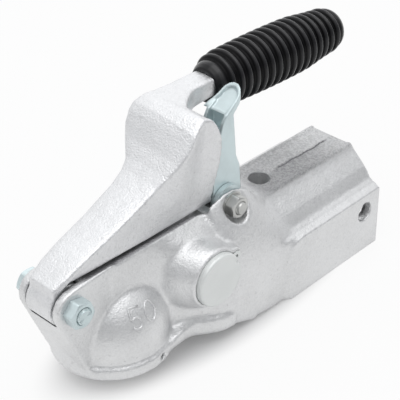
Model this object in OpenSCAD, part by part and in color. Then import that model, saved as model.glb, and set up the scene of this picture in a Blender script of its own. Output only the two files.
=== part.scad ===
// Trailer coupling head with a front-hinged hand lever, a safety latch and a rocking ball keeper.
// Origin at the centre of the towing ball, +X towards the drawbar, +Z up, lengths in millimetres.

/* [Ball socket] */
// Diameter of the towing ball
ball_d = 50; // [48:0.5:51]
// Radial clearance of the socket round the ball
ball_gap = 0.4; // [0.2:0.1:0.8]
// Wall of the socket dome
dome_wall = 9.2; // [7:0.2:11]
// Outer radius of the rim flange
rim_r = 37; // [35.5:0.5:39]
// Height of the rim below the ball's centre
rim_drop = 16.5; // [14:0.5:18]
// Height of the rim flange
rim_h = 8; // [6:0.5:9]
// Section radius of the thick front lip
lip_r = 9; // [7:0.5:10]
// Half angle that the front lip covers in degrees
lip_angle = 34; // [25:1:45]
// Diameter of the drain hole in the rim
drain_d = 4.4; // [3:0.2:6]

/* [Body] */
// Height of the rail under the lever
rail_z = 53; // [51:0.5:55]
// Half width of the rail
rail_half = 15.5; // [15:0.25:16]
// Half width of the flat nose plate under the rail
plate_half = 16.6; // [16:0.1:17]
// Wall of the casting
wall = 6; // [5:0.5:7]
// Step of the rear skin over the front skin
skin_step = 2; // [1:0.25:3]

/* [Tail] */
// Height of the tail's flat top
tail_top = 38; // [36:0.5:41]
// Half width of the flat top
top_half = 14; // [12:0.5:16]
// Rear end of the tail
tail_end = 204; // [198:1:212]
// Depth of the tail's lower edge
tail_drop = 29; // [26:0.5:33]
// Width of the drawbar pocket
pocket_w = 71; // [69:0.5:73]
// Wall of the tail beside the drawbar
tail_wall = 6; // [5.5:0.25:7]
// Height of the pocket's ceiling
pocket_z = 16; // [13:0.5:18]
// Front end of the pocket
pocket_x = 112; // [110:1:118]
// How far the side panels stand out
panel_step = 1.4; // [1:0.2:2.4]
// Position of the vertical bolt hole
top_hole_x = 131; // [128:1:136]
// Position of the cross bolt hole
side_hole_x = 189; // [182:1:192]
// Height of the cross bolt hole
side_hole_z = 2; // [-4:0.5:4]
// Diameter of the drawbar bolt holes
hole_d = 13.5; // [12:0.25:15]

/* [Front pivot] */
// Distance of the front pivot ahead of the ball
pivot_fwd = 40.5; // [39.5:0.25:42]
// Height of the front pivot
pivot_z = 39.6; // [38.5:0.1:40.5]
// Radius of the nose ears
ear_r = 12.5; // [11.5:0.25:13.5]
// Half width over the nose ears
ear_half = 17; // [16.5:0.25:19]
// Diameter of the front pivot bolt
pivot_d = 10; // [9:0.5:12]
// Width across flats of the front nut
pivot_af = 15.5; // [15:0.5:18]

/* [Lever] */
// Half width of the lever's nose
nose_half = 10.4; // [9.6:0.2:10.6]
// Gap beside the lever's nose
nose_gap = 1.3; // [0.4:0.1:1.5]
// Radius of the lever's nose
nose_r = 12.8; // [12:0.1:13]
// Half width of the lever's foot
lever_half = 14; // [13:0.25:15]
// Gap between the lever and the rail
seam = 1.4; // [0.6:0.1:1.8]
// Width of the hump on the near side
hump_near = 22; // [21:0.1:23]
// Width of the hump on the far side, towards the offset neck
hump_far = 26.5; // [25.5:0.1:27.5]
// Height of the hump and the neck
hump_z = 118.5; // [117:0.5:120]
// Half width of the neck
neck_half = 8.8; // [8:0.1:9]
// Sideways offset of the neck and grip, away from the latch
handle_y = 18; // [17.75:0.25:19]
// Wall of the lever's hood
hood_wall = 4.5; // [3.5:0.25:5]

/* [Grip] */
// Front end of the grip
grip_x = 100; // [99:0.5:102]
// Length of the grip
grip_l = 122; // [118:1:128]
// Height of the grip's axis at its front
grip_z = 110.8; // [109.8:0.2:111.6]
// Fall of the grip's axis to the rear in degrees
grip_fall = 2.5; // [0:0.5:5]
// Largest diameter of the grip
grip_d = 38; // [35:0.5:39]
// Diameter of the grip's front collar
collar_d = 32; // [29:0.5:35]
// Diameter of the collar's mouth round the neck
mouth_d = 21; // [20:0.5:24]
// Length of the collar up to the first ring
collar_l = 13; // [12:0.5:16]
// Number of rings
rings = 16; // [12:1:18]
// Depth of the grooves between the rings
groove = 2.6; // [1.5:0.1:3.5]
// Diameter of the spindle in the grip
spindle_d = 16; // [14:0.5:18]

/* [Latch] */
// Position of the latch pivot
latch_x = 84; // [83:0.5:86]
// Height of the latch pivot
latch_z = 50.5; // [49:0.5:52]
// Diameter of the latch bolt
latch_bolt_d = 8; // [7:0.5:9]
// Width across flats of the latch nut
latch_af = 13; // [12:0.5:15]
// Thickness of the washer under the latch nut
latch_washer_t = 1.2; // [0.8:0.1:1.6]
// Near face of the latch's channel, from the middle
latch_near = 13.4; // [13:0.1:14]
// Far face of the latch's channel, from the middle
latch_far = 3.4; // [3:0.1:4]
// Thickness of the latch sheet
latch_t = 2.5; // [2:0.25:3]
// Half width over the latch ears
latch_ear_half = 19.5; // [19:0.25:21]
// Half width of the gap between the latch ears
latch_gap_half = 17; // [16.5:0.25:17.5]

/* [Keeper] */
// Position of the cross pin
pin_x = 50; // [49:0.5:52]
// Height of the cross pin
pin_z = 23; // [22:0.5:24]
// Diameter of the cross pin
pin_d = 34.6; // [32:0.2:36]
// How far the cross pin stands proud of its boss
pin_proud = 4; // [2:0.5:5]
// How far the faces of the side bosses lie inside the tail's sides
boss_inset = 2; // [1:0.5:3]
// Wall of the side bosses round the pin
boss_wall = 4.6; // [4:0.2:6]
// Half width of the keeper
keeper_half = 12; // [10:0.25:12.5]
// Wall of the keeper round the pin
keeper_wall = 5.6; // [5:0.1:6]
// Diameter of the spring pins
roll_d = 7; // [6:0.5:8]

/* [Clearances] */
// Radial clearance of a shaft that turns in its bore
run_gap = 0.05; // [0.02:0.01:0.09]
// Gap between faces that move past each other
side_gap = 0.3; // [0.3:0.05:0.5]

/* [Hidden] */
fine = 72;
small = 40;
lip_arch = 26.5;
eps = 0.01;
ball_r = ball_d / 2 + ball_gap;
dome_r = ball_r + dome_wall;
pivot_x = -pivot_fwd;
slot_half = nose_half + nose_gap;
foot_half = pocket_w / 2 + tail_wall;
boss_half = foot_half - boss_inset;
foot_z = rail_z + seam;

// Cylinder along Y between two stations
module bar_y(r, y0, y1, n = fine) {
  translate([0, y1, 0]) rotate([90, 0, 0]) cylinder(r = r, h = y1 - y0, $fn = n);
}

// Outline in X and Z, extruded along Y between two stations
module plate_y(outline, y0, y1) {
  translate([0, y1, 0]) rotate([90, 0, 0]) linear_extrude(y1 - y0) polygon(outline);
}

// Outline in Y and Z, extruded along X between two stations
module slab_x(outline, x0, x1) {
  translate([x0, 0, 0]) rotate([90, 0, 90]) linear_extrude(x1 - x0) polygon(outline);
}

// Cylinder along X between two stations
module bar_x(r, x0, x1, n = fine) {
  translate([x0, 0, 0]) rotate([0, 90, 0]) cylinder(r = r, h = x1 - x0, $fn = n);
}

// Box from one corner to the other
module block(low, high) {
  translate(low) cube(high - low);
}

// Hexagon along Y with a width across flats
module hexagon_y(af, y0, y1) {
  bar_y(af / 2 / cos(30), y0, y1, 6);
}

// Points of an arc from one angle to another
function arc(cx, cz, r, a0, a1, n = 12) =
  [for (i = [0:n]) [cx + r * cos(a0 + (a1 - a0) * i / n), cz + r * sin(a0 + (a1 - a0) * i / n)]];

// Both halves of an outline that is given for the +Y side from its foot to its crown
function both_sides(half) = concat(half, [for (i = [len(half) - 1:-1:0]) [-half[i][0], half[i][1]]]);

// One round of corner cutting on a closed outline
function soften(p) = [for (i = [0:len(p) - 1]) let (q = p[(i + 1) % len(p)])
  each [0.75 * p[i] + 0.25 * q, 0.25 * p[i] + 0.75 * q]];

// One round of corner cutting along a row of sections, with the end sections kept
function soften_row(s) = concat([s[0]],
  [for (i = [0:len(s) - 2]) each [0.75 * s[i] + 0.25 * s[i + 1], 0.25 * s[i] + 0.75 * s[i + 1]]],
  [s[len(s) - 1]]);

// Closed skin through sections of equal point counts, each point [x, y, z]
module skin(s) {
  n = len(s[0]);
  m = len(s);
  points = [for (ring = s) each ring];
  sides = [for (i = [0:m - 2], j = [0:n - 1]) let (k = (j + 1) % n)
    each [[i * n + j, (i + 1) * n + j, (i + 1) * n + k], [i * n + j, (i + 1) * n + k, i * n + k]]];
  front = [for (j = [0:n - 1]) j];
  back = [for (j = [n - 1:-1:0]) (m - 1) * n + j];
  polyhedron(points, concat([front], sides, [back]), convexity = 6);
}

// Section of a casting from control points in Y and Z
function section(x, half) = [for (p = soften(soften(both_sides(half)))) [x, p[0], p[1]]];

// Section of the body: foot, belly, shoulder and rail, each [half width, height]
function body_section(x, foot, belly, shoulder, rail, cut = 0, floor = 0) = section(x, [
  [foot[0] - 3 - cut, foot[1] - floor],
  [foot[0] - cut, foot[1] + 3 - floor],
  [belly[0] - cut, belly[1]],
  [shoulder[0] - cut, shoulder[1] - cut / 3],
  [rail[0] + 0.8 - cut, rail[1] - 2.5 - cut],
  [rail[0] - 2 - cut, rail[1] - cut]]);

// Front skin of the body: the flat nose plate that widens behind the socket
function front_rows(cut = 0, floor = 0) = let (p = plate_half, rail = [rail_half, rail_z]) soften_row([
  body_section(-12, [p, -rim_drop + 4], [p, 6], [p, 30], rail, cut, floor),
  body_section(8, [p + 0.4, -rim_drop + 4], [p + 0.4, 6], [p + 0.2, 34], rail, cut, floor),
  body_section(22, [26, -rim_drop + 2], [22, 4], [p + 2.4, 38], rail, cut, floor),
  body_section(31, [31, -rim_drop + 1], [28, 3], [p + 6.4, 41.5], rail, cut, floor),
  body_section(39, [31.6, -rim_drop - 1], [30.5, 3], [p + 9.4, 42.5], rail, cut, floor),
  body_section(47, [35, -rim_drop - 4], [33.5, 2], [p + 10.4, 43], rail, cut, floor),
  body_section(56, [38.6, -rim_drop - 5], [37, 2], [p + 11, 42], rail, cut, floor),
  body_section(66, [foot_half - 0.6, -rim_drop - 6], [39, 3], [p + 12, 39], [rail_half + 1, rail_z], cut, floor),
  body_section(84, [foot_half, -tail_drop], [foot_half, 4], [33, 33], [rail_half + 1, rail_z], cut, floor)]);

// Bead along the lower edge, from the rim to the tail: each row has its station, half width, foot and top
function bead_rows() = soften_row([for (b = [
  [4, 34.6, -rim_drop, -8.4], [14, 34.6, -rim_drop, -8], [24, 34.4, -rim_drop, -5.6], [31, 34, -rim_drop, -4],
  [39, 34.3, -rim_drop - 2.6, -5], [47, 37.7, -rim_drop - 4.4, -7], [56, 40.8, -rim_drop - 5.8, -8.5],
  [65, foot_half, -rim_drop - 6, -10]])
  section(b[0], [[b[1] - 3, b[2]], [b[1], b[2] + 3], [b[1], b[3] - 2], [b[1] - 2, b[3]]])]);

// Rear skin of the body from the latch ears to the tail
function rear_rows(cut = 0, floor = 0) = let (s = skin_step) soften_row([
  body_section(64, [38.5 + s, -rim_drop - 6], [37 + s, 0], [29 + s, 34], [latch_ear_half - 1.5, 52], cut, floor),
  body_section(67, [foot_half - 1, -rim_drop - 7], [38.5 + s, 2], [32 + s, 35], [latch_ear_half, 57], cut, floor),
  body_section(84, [foot_half, -tail_drop + 2], [foot_half, 6], [34.5, 34], [latch_ear_half, 60.5], cut, floor),
  body_section(98, [foot_half, -tail_drop], [foot_half, 8], [34.5, 30], [latch_ear_half, 55], cut, floor),
  body_section(112, [foot_half, -tail_drop], [foot_half, 10], [34.5, 24], [top_half + 3, 43], cut, floor),
  body_section(124, [foot_half, -tail_drop], [foot_half, 10], [34.5, 20], [top_half + 2, tail_top], cut, floor)]);

// Outline of the tail, from its foot to its crown on the +Y side
tail_half = [
  [foot_half - 0.5, -tail_drop], [foot_half + 0.3, -tail_drop + 2], [foot_half, pocket_z - 3],
  [foot_half - 0.8, pocket_z], [foot_half - 3.5, pocket_z + 1.3], [foot_half - 7, pocket_z + 3],
  [foot_half - 9, pocket_z + 6.5], [foot_half - 12, pocket_z + 10.5], [foot_half - 16.5, pocket_z + 14.5],
  [foot_half - 21, tail_top - 3.6], [top_half + 4.4, tail_top - 1.2], [top_half + 3, tail_top + 0.4],
  [top_half + 1.4, tail_top + 0.8], [top_half, tail_top]];

// Inside of the hump over the drawbar
hump_inside = [
  [pocket_w / 2 - 6, pocket_z - eps], [pocket_w / 2 - 9, pocket_z + 4], [pocket_w / 2 - 15, pocket_z + 9],
  [top_half - 2, tail_top - wall - 1], [top_half - 4, tail_top - wall]];

module body_outer() {
  // Nose plate from the ears down to the rim
  hull() {
    translate([pivot_x, 0, pivot_z]) bar_y(ear_r, -ear_half, ear_half, 32);
    block([-34.6, -plate_half, -rim_drop + 6], [-8, plate_half, -rim_drop + 9]);
    block([-34, -rail_half, rail_z - 14], [-8, rail_half, rail_z]);
  }
  intersection() {
    union() {
      sphere(r = dome_r, $fn = fine);
      translate([0, 0, -rim_drop]) cylinder(r = dome_r, h = rim_drop, $fn = fine);
    }
    block([-60, -60, -rim_drop], [60, 60, 60]);
  }
  translate([0, 0, -rim_drop]) cylinder(r = rim_r, h = rim_h, $fn = fine);
  front_lip();
  skin(front_rows());
  skin(bead_rows());
  skin(rear_rows());
  slab_x(both_sides(tail_half), pocket_x, tail_end);
  side_panels();
  side_bosses();
}

// Thick rounded lip round the front of the socket, with round ends and a pad that arches up over it
module front_lip() {
  r = rim_r - lip_r + 0.8;
  translate([0, 0, -rim_drop + 2]) {
    rotate([0, 0, 180 - lip_angle]) rotate_extrude(angle = 2 * lip_angle, $fn = fine)
      translate([r, 0]) circle(r = lip_r, $fn = small);
    for (side = [-1, 1]) rotate([0, 0, 180 + side * lip_angle]) translate([r, 0, 0]) sphere(r = lip_r, $fn = small);
  }
  intersection() {
    translate([0, 0, -rim_drop]) cylinder(r = rim_r + 0.7, h = rim_drop + 4, $fn = fine);
    translate([0, 0, -1 - lip_arch]) bar_x(lip_arch, -60, -16);
    block([-60, -30, -rim_drop + 2], [-16, 30, 10]);
  }
}

// Raised panels beside the drawbar, with a rounded front corner
module side_panels() {
  r = 14;
  x0 = pocket_x;
  outline = concat([[tail_end, -tail_drop], [tail_end, pocket_z - 0.5]],
    arc(x0 + r, pocket_z - 0.5 - r, r, 90, 180, 10), [[x0 + 3, -tail_drop]]);
  for (side = [-1, 1]) {
    face = foot_half + panel_step;
    plate_y(outline, side > 0 ? foot_half - 3 : -face, side > 0 ? face : -foot_half + 3);
  }
}

// Round bosses that carry the cross pin, each with a fairing towards the socket
module side_bosses() {
  r = pin_d / 2 + boss_wall;
  for (side = [-1, 1]) {
    translate([pin_x, 0, pin_z]) rotate([90, 0, 0]) scale([1, 1, -side])
      rotate_extrude($fn = fine) boss_profile(r, 4.5);
    mirror([0, side < 0 ? 1 : 0, 0]) hull() {
      translate([pin_x, 0, pin_z]) bar_y(r - 2, boss_half - 4, boss_half - 3, 48);
      translate([pin_x - 5, 0, pin_z - 3]) bar_y(r + 4, plate_half - 2, plate_half + 1, 48);
    }
  }
  for (side = [-1, 1]) roll_place(side) bar_y(roll_d / 2 + 2, -9, 0.8, small);
}

// Half section of a side boss with its fillet
module boss_profile(r, f) {
  y = plate_half - 2;
  face_r = r - 2.4;
  polygon(concat([[0, 12], [r + f, 12], [r + f, y]], arc(r + f, y + f, f, 270, 180, 8),
    arc(face_r - 1.5, boss_half - 1.5, 1.5, 0, 90, 4), [[0, boss_half]]));
}

// Place on the boss face, at the rim of the cross pin, with the free end towards +Y
module roll_place(side) {
  a = 26;
  r = pin_d / 2 + 0.9;
  mirror([0, side < 0 ? 1 : 0, 0]) translate([pin_x + r * cos(a), boss_half, pin_z + r * sin(a)]) children();
}

// Hollow of the casting behind the socket, open below
module body_hollow() {
  difference() {
    union() {
      intersection() {
        skin(front_rows(wall, 40));
        block([30, -60, -80], [76, 60, 60]);
      }
      intersection() {
        skin(rear_rows(wall, 40));
        block([70, -60, -80], [pocket_x - wall, 60, latch_z - 20]);
      }
    }
    for (side = [-1, 1]) translate([pin_x, 0, pin_z]) {
      r = pin_d / 2 + boss_wall;
      bar_y(r, side > 0 ? keeper_half + side_gap : -60, side > 0 ? 60 : -keeper_half - side_gap);
    }
  }
}

// Room for the keeper, its arm and the lever's wedge
module keeper_room() {
  half = keeper_half + side_gap;
  arm_half = 8.6;
  block([2, -half, -60], [78, half, rail_z - 4.5]);
  block([6, -arm_half, rail_z - 6], [62, arm_half, 80]);
}

// Room between the latch ears
module latch_room() {
  half = latch_gap_half;
  translate([latch_x, 0, latch_z]) bar_y(19, -half, half);
  plate_y([[latch_x - 14.2, latch_z - 9], [latch_x + 16, latch_z - 11], [latch_x + 24, latch_z - 6],
    [latch_x + 34, latch_z - 3], [latch_x + 34, latch_z + 40], [latch_x - 30, latch_z + 40],
    [latch_x - 30, rail_z + 0.1], [latch_x - 14.2, rail_z - 3]], -half, half);
}

module body_casting() color("silver") difference() {
  body_outer();
  body_hollow();
  keeper_room();
  latch_room();
  // Socket for the ball
  sphere(r = ball_r, $fn = fine);
  translate([0, 0, -rim_drop - 20]) cylinder(r = ball_r, h = rim_drop + 20, $fn = fine);
  translate([0, 0, -rim_drop - eps]) cylinder(r1 = ball_r + 3, r2 = ball_r, h = 4, $fn = fine);
  rotate([0, 0, -78]) translate([0, 0, -rim_drop + 3.6]) bar_x(drain_d / 2, ball_r - 2, rim_r + 4, small);
  // Slot for the lever's nose and the bores of the front pivot
  translate([pivot_x, 0, pivot_z]) {
    bar_y(nose_r + 0.7, -slot_half, slot_half);
    bar_y(pivot_d / 2 + run_gap, -60, 60);
  }
  plate_y([[pivot_x - 30, pivot_z + 4], [pivot_x + 9.2, pivot_z + 9.3], [pivot_x + 9.2, 90], [pivot_x - 30, 90]],
    -slot_half, slot_half);
  block([pivot_x - 40, -60, rail_z], [latch_x - 18.5, 60, 120]);
  // Bores of the cross pin and its spring pins
  translate([pin_x, 0, pin_z]) bar_y(pin_d / 2, -60, 60);
  for (side = [-1, 1]) roll_place(side) bar_y(roll_d / 2, -18, 10, small);
  // Bore of the latch bolt and the flats that its nut and head seat on
  translate([latch_x, 0, latch_z]) {
    bar_y(latch_bolt_d / 2, -60, 60, small);
    bar_y(spot_r, -60, -latch_ear_half);
    bar_y(spot_r, latch_ear_half, 60);
  }
  // Drawbar pocket, the hollow hump above it and the two bolt holes
  block([pocket_x, -pocket_w / 2, -tail_drop - 20], [tail_end + 20, pocket_w / 2, pocket_z]);
  difference() {
    slab_x(both_sides(hump_inside), pocket_x + 6, tail_end + 10);
    translate([top_hole_x, 0, pocket_z]) cylinder(r = hole_d / 2 + wall, h = 60, $fn = fine);
  }
  translate([top_hole_x, 0, 0]) cylinder(r = hole_d / 2, h = 60, $fn = fine);
  translate([side_hole_x, 0, side_hole_z]) bar_y(hole_d / 2, -60, 60);
}

// Section of the lever: half width and height of its foot, its top edges on the near and far side, each
// [width, height], and the crown of its roof
function lever_section(x, foot, near, far, crown = 0, cut = 0, floor = 0) =
  let (h = foot[0] - cut, knee = foot[1] + (cut > 0 ? -4 : 3))
  [for (p = soften(soften([
    [h - 1, foot[1] - floor], [h, foot[1] + 1 - floor], [h, knee],
    [far[0] - cut, far[1] - 4 - cut], [far[0] - cut, far[1] - 1 - cut], [far[0] - 1 - cut, far[1] - cut],
    [far[0] * 0.5, (far[1] * 3 + near[1]) / 4 + crown - cut], [-near[0] * 0.5, (far[1] + near[1] * 3) / 4 + crown - cut],
    [cut + 1 - near[0], near[1] - cut], [cut - near[0], near[1] - 1 - cut], [cut - near[0], near[1] - 4 - cut],
    [-h, knee], [-h, foot[1] + 1 - floor], [1 - h, foot[1] - floor]]))) [x, p[0], p[1]]];

// Hood of the lever from the nose to the back of the hump
function hood_rows(cut = 0, floor = 0) = let (h = [lever_half, foot_z], n = hump_near, f = hump_far, z = hump_z) [
  lever_section(pivot_x - 9, [nose_half, pivot_z + 6], [nose_half, 54], [nose_half, 54], 0.3, cut, floor),
  lever_section(pivot_x + 2, [12, foot_z], [12.4, 59.5], [12.4, 59.5], 0.3, cut, floor),
  lever_section(pivot_x + 13, [12.8, foot_z], [12.9, 64.3], [12.9, 64.3], 0.4, cut, floor),
  lever_section(-4, [13.5, foot_z], [13.6, 72.3], [13.6, 72.3], 0.5, cut, floor),
  lever_section(18, h, [14.2, 81.4], [14.2, 81.7], 0.6, cut, floor),
  lever_section(27, h, [15.5, 86.7], [15, 87], 0.6, cut, floor),
  lever_section(33, h, [17.4, 91.5], [17, 92], 0.6, cut, floor),
  lever_section(40, h, [20.2, 97.8], [f - 2, z - 18.5], 0.8, cut, floor),
  lever_section(44, h, [n - 0.5, z - 16.5], [f + 1.5, z - 11.5], 1, cut, floor),
  lever_section(48, h, [n, z - 12], [f + 2.6, z - 5.5], 1.2, cut, floor),
  lever_section(52, h, [n, z - 7], [f + 2.8, z - 2], 1.4, cut, floor),
  lever_section(57, h, [n - 1.5, z - 3], [f + 2.4, z - 0.4], 1.2, cut, floor),
  lever_section(62, h, [n - 2.5, z - 0.5], [f + 1.8, z], 0.6, cut, floor),
  lever_section(68, h, [n - 1.2, z - 2.5], [f + 1, z], 0, cut, floor),
  lever_section(74, h, [n - 0.4, z - 9], [f, z - 2], 0, cut, floor),
  lever_section(79.5, h, [n - 1, z - 18], [f - 4, z - 12], 0, cut, floor)];

// Section of the neck between two sides, from its underside to its top
function neck_section(x, y0, y1, z0, z1) = [for (p = soften(soften([[y1 - 2, z0], [y1, z0 + 2], [y1, z1 - 1.6],
  [y1 - 1.6, z1], [(y0 + y1) / 2, z1 + 0.5], [y0 + 1.6, z1], [y0, z1 - 1.6], [y0, z0 + 2], [y0 + 2, z0]])))
  [x, p[0], p[1]]];

// Neck that runs from the far side of the hump into the grip
function neck_rows() = let (n = handle_y - neck_half, f = handle_y + neck_half, z = hump_z) soften_row([
  neck_section(54, n - 19, f - 4, z - 16, z - 3),
  neck_section(62, n - 15, f + 1, z - 15, z - 0.5),
  neck_section(67, n - 10, f + 1.2, z - 14.4, z),
  neck_section(73, n - 5.5, f + 0.8, z - 13.8, z),
  neck_section(78, n - 2.5, f, z - 13.6, z),
  neck_section(83, n, f, z - 13.6, z),
  neck_section(90, n, f, z - 13.2, z),
  neck_section(grip_x + 3.5, n, f, z - 12.6, z - 0.4)]);

// Curve of the hood's open rear edge in X and Z
rear_edge = [[72.6, 40], [72.8, 60], [75.9, 81], [75.9, 92], [75, 99.8], [73.4, 105], [71, 110.5], [68.3, 115],
  [66, 117.4], [63, 125]];

module lever_casting() color("gainsboro") difference() {
  union() {
    difference() {
      skin(hood_rows());
      intersection() {
        skin(concat([for (i = [2:14]) hood_rows(hood_wall, 40)[i]],
          [[for (p = hood_rows(hood_wall, 40)[15]) p + [4, 0, 0]]]));
        block([pivot_x + nose_r + 4, -60, foot_z - 20], [100, 60, 200]);
      }
      plate_y(concat(rear_edge, [[100, 125], [100, 40]]), -60, 60);
      // Mouth in which the latch tucks, open at the top on the near side
      block([66, -latch_near - 3.6, 84], [100, latch_far + 3, hump_z - 9]);
      block([66.5, -latch_near - 3.6, hump_z - 12], [100, -4, hump_z + 10]);
    }
    translate([pivot_x, 0, pivot_z]) bar_y(nose_r, -nose_half, nose_half);
    skin(neck_rows());
    // Bridge inside the hood that carries the wedge
    plate_y([[8, foot_z + 9], [34, foot_z + 9], [34, foot_z + 20], [8, foot_z + 14]], -lever_half + 1, lever_half - 1);
    // Ledge for the latch's tooth
    plate_y(latch_ledge, -lever_half - 1, lever_half + 1);
    plate_y(ledge_nose, -latch_near + latch_t + 1, latch_far - latch_t - 1);
    grip_axis() bar_x(spindle_d / 2, -3, grip_l - 8, small);
  }
  translate([pivot_x, 0, pivot_z]) bar_y(bush_r, -60, 60);
  for (x = wedge_screw_x) translate([x, 0, 0]) cylinder(d = wedge_screw_d, h = foot_z + 20, $fn = small);
}

bush_r = pivot_d / 2 + 2;
wedge_screw_x = [15, 23];
wedge_screw_d = 4.2;
latch_ledge = [[58, 85], [74, 85], [74, 91], [58, 91]];
ledge_nose = [[70, 85], [78.6, 85], [78.6, 88.6], [74, 91], [70, 91]];

// Frame of the grip: its axis along X, starting at the grip's front
module grip_axis() {
  translate([grip_x, handle_y, grip_z]) rotate([0, grip_fall, 0]) children();
}

// Outer radius of the grip's rings at a share of its length
function grip_radius(u) = (collar_d + (grip_d - collar_d) * pow(sin(min(20 + u * 150, 150)), 0.7)) / 2
  - (u > 0.7 ? (u - 0.7) * 9 : 0);

module rubber_grip() color("black") {
  start = collar_l;
  pitch = (grip_l - start - 8) / rings;
  crests = [for (i = [0:rings - 1]) let (x = start + pitch * i, r = grip_radius((i + 0.5) / rings))
    each [[r - groove, x + 0.2], [r - groove, x + pitch * 0.14], [r - 0.8, x + pitch * 0.26], [r, x + pitch * 0.42],
      [r, x + pitch * 0.72], [r - 0.8, x + pitch * 0.88], [r - groove, x + pitch]]];
  end_r = grip_radius(1) - 1;
  profile = concat([[spindle_d / 2, 0], [mouth_d / 2 - 0.4, 0], [mouth_d / 2, 0.5], [collar_d / 2 - 1.3, 6.4],
    [collar_d / 2 - 0.3, 8.2], [collar_d / 2, 9.6], [collar_d / 2, start - 1.5],
    [collar_d / 2 - 1, start - 0.4]], crests,
    [for (p = arc(end_r - 7, grip_l - 7, 7, 0, 90, 6)) p], [[0, grip_l], [0, grip_l - 7.9], [spindle_d / 2, grip_l - 7.9]]);
  grip_axis() rotate([0, 90, 0]) rotate_extrude($fn = 48) polygon(profile);
}

module front_pivot_bolt() color("lightsteelblue") translate([pivot_x, 0, pivot_z]) difference() {
  union() {
    bar_y(pivot_d / 2, -ear_half - 9, ear_half + 1);
    intersection() {
      hexagon_y(pivot_af, ear_half, ear_half + 7);
      translate([0, ear_half + 7, 0]) rotate([90, 0, 0])
        cylinder(r1 = pivot_af / 2 - 0.6, r2 = pivot_af / 2 + 6.4, h = 7, $fn = fine);
    }
  }
  // Staked thread end
  translate([1.5, -ear_half - 9.6, 1]) rotate([90, 20, 0]) cube([6, 1.6, 3], center = true);
}

module front_pivot_nut() color("lightblue") translate([pivot_x, 0, pivot_z]) difference() {
  intersection() {
    hexagon_y(pivot_af, -ear_half - 7.5, -ear_half);
    translate([0, -ear_half, 0]) rotate([90, 0, 0])
      cylinder(r1 = pivot_af / 2 + 6.9, r2 = pivot_af / 2 - 0.6, h = 7.5, $fn = fine);
  }
  bar_y(pivot_d / 2, -60, 60);
}

module lever_bush() color("dimgray") translate([pivot_x, 0, pivot_z]) difference() {
  bar_y(bush_r, -nose_half, nose_half);
  bar_y(pivot_d / 2 + run_gap, -60, 60);
}

// Wedge under the hood's bridge, with a sloped rear face against the keeper's pad
wedge_back = pin_x - 22.8;
module lever_wedge() color("dimgray") difference() {
  plate_y([[wedge_back - 15, 41], [wedge_back - 13, 39.5], [wedge_back - 3, 39.5], [wedge_back - 1.4, 41.5],
    [wedge_back, 58], [wedge_back, foot_z + 9], [wedge_back - 15, foot_z + 9]], -7.5, 7.5);
  for (x = wedge_screw_x) translate([x, 0, 0]) cylinder(d = wedge_screw_d, h = foot_z + 20, $fn = small);
}

module wedge_screws() color("gray") for (x = wedge_screw_x) translate([x, 0, 0]) {
  translate([0, 0, 46]) cylinder(d = wedge_screw_d - 0.1, h = foot_z - 28, $fn = small);
}

module safety_latch() color("lightcyan") difference() {
  union() {
    for (side = [-1, 1]) latch_flange(side);
    latch_web();
    latch_tab();
    latch_tooth();
  }
  translate([latch_x, 0, latch_z]) bar_y(sleeve_r + run_gap, -60, 60);
}

sleeve_r = latch_bolt_d / 2 + 2;
spacer_r = 11;
spot_r = 9.6;

// Side flange of the latch, tapering upwards from its round foot
module latch_flange(side) {
  outline = concat([[74.6, 56], [76.8, 78], [79.4, 89], [81.2, 95.5], [83.6, 102.6], [86.4, 107.4], [92.9, 111],
    [92.9, 106], [95, 77.4], [98.2, 69], [99.4, 52]], arc(latch_x - 0.4, latch_z + 0.6, 9.6, -20, -172, 10));
  y0 = side > 0 ? latch_far - latch_t : -latch_near;
  plate_y(outline, y0, y0 + latch_t);
}

// Rear web of the latch
module latch_web() {
  plate_y([[97, 50], [99.4, 52], [98.2, 69], [95, 77.4], [92.4, 105.8], [91.3, 108], [88.6, 107.6], [89.8, 105],
    [92.5, 76.6], [95.7, 68.4]], -latch_near, latch_far);
}

// Outline of the thumb tab in plan, pulled in by a rim
function tab_plan(in) = let (r = tab_r - in, y = -latch_near + 0.2 + tab_r)
  concat([[83, y - r], [91, y - r]], arc(tab_x, y, r, -75, 60, 12), [[95.4, y + r], [91.5, y + r + 2], [87, y + r + 4],
    [83, y + r + 4.4]]);
tab_r = 7.8;
tab_x = 95.6;

// Thumb tab, bent to the rear, dished, with a rim all round
module latch_tab() {
  difference() {
    intersection() {
      plate_y([[86.4, 107.2], [90, 110], [96, 114.2], [101, 118.4], [106, 122.6], [108, 118.4], [101.4, 113.2],
        [96.6, 109.2], [91.2, 105]], -latch_near, latch_far + 4);
      translate([0, 0, 90]) linear_extrude(40) polygon(tab_plan(0));
    }
    intersection() {
      plate_y([[76, 99], [89, 107.2], [96, 111.8], [101, 116], [108, 121.6], [108, 132], [76, 132]],
        -latch_near, latch_far + 4);
      translate([0, 0, 90]) linear_extrude(40) polygon(tab_plan(1.8));
    }
  }
}

// Tooth on the web that reaches over the lever's ledge
module latch_tooth() {
  plate_y([[92, 92.8], [79, 92.8], [79, 89.2], [92, 89.2]], -latch_near + latch_t, latch_far - latch_t);
}

module latch_bolt() color("darkkhaki") translate([latch_x, 0, latch_z]) {
  bar_y(latch_bolt_d / 2, -latch_ear_half - 9, latch_ear_half + 0.5, small);
  intersection() {
    hexagon_y(latch_af - 1, latch_ear_half, latch_ear_half + 5.3);
    translate([0, latch_ear_half + 5.3, 0]) rotate([90, 0, 0])
      cylinder(r1 = latch_af / 2 - 1, r2 = latch_af / 2 + 4.3, h = 5.3, $fn = fine);
  }
}

module latch_washer() color("darkkhaki") translate([latch_x, 0, latch_z]) difference() {
  bar_y(latch_af / 2 + 1.8, -latch_ear_half - latch_washer_t, -latch_ear_half, small);
  bar_y(latch_bolt_d / 2, -60, 60, small);
}

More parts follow.
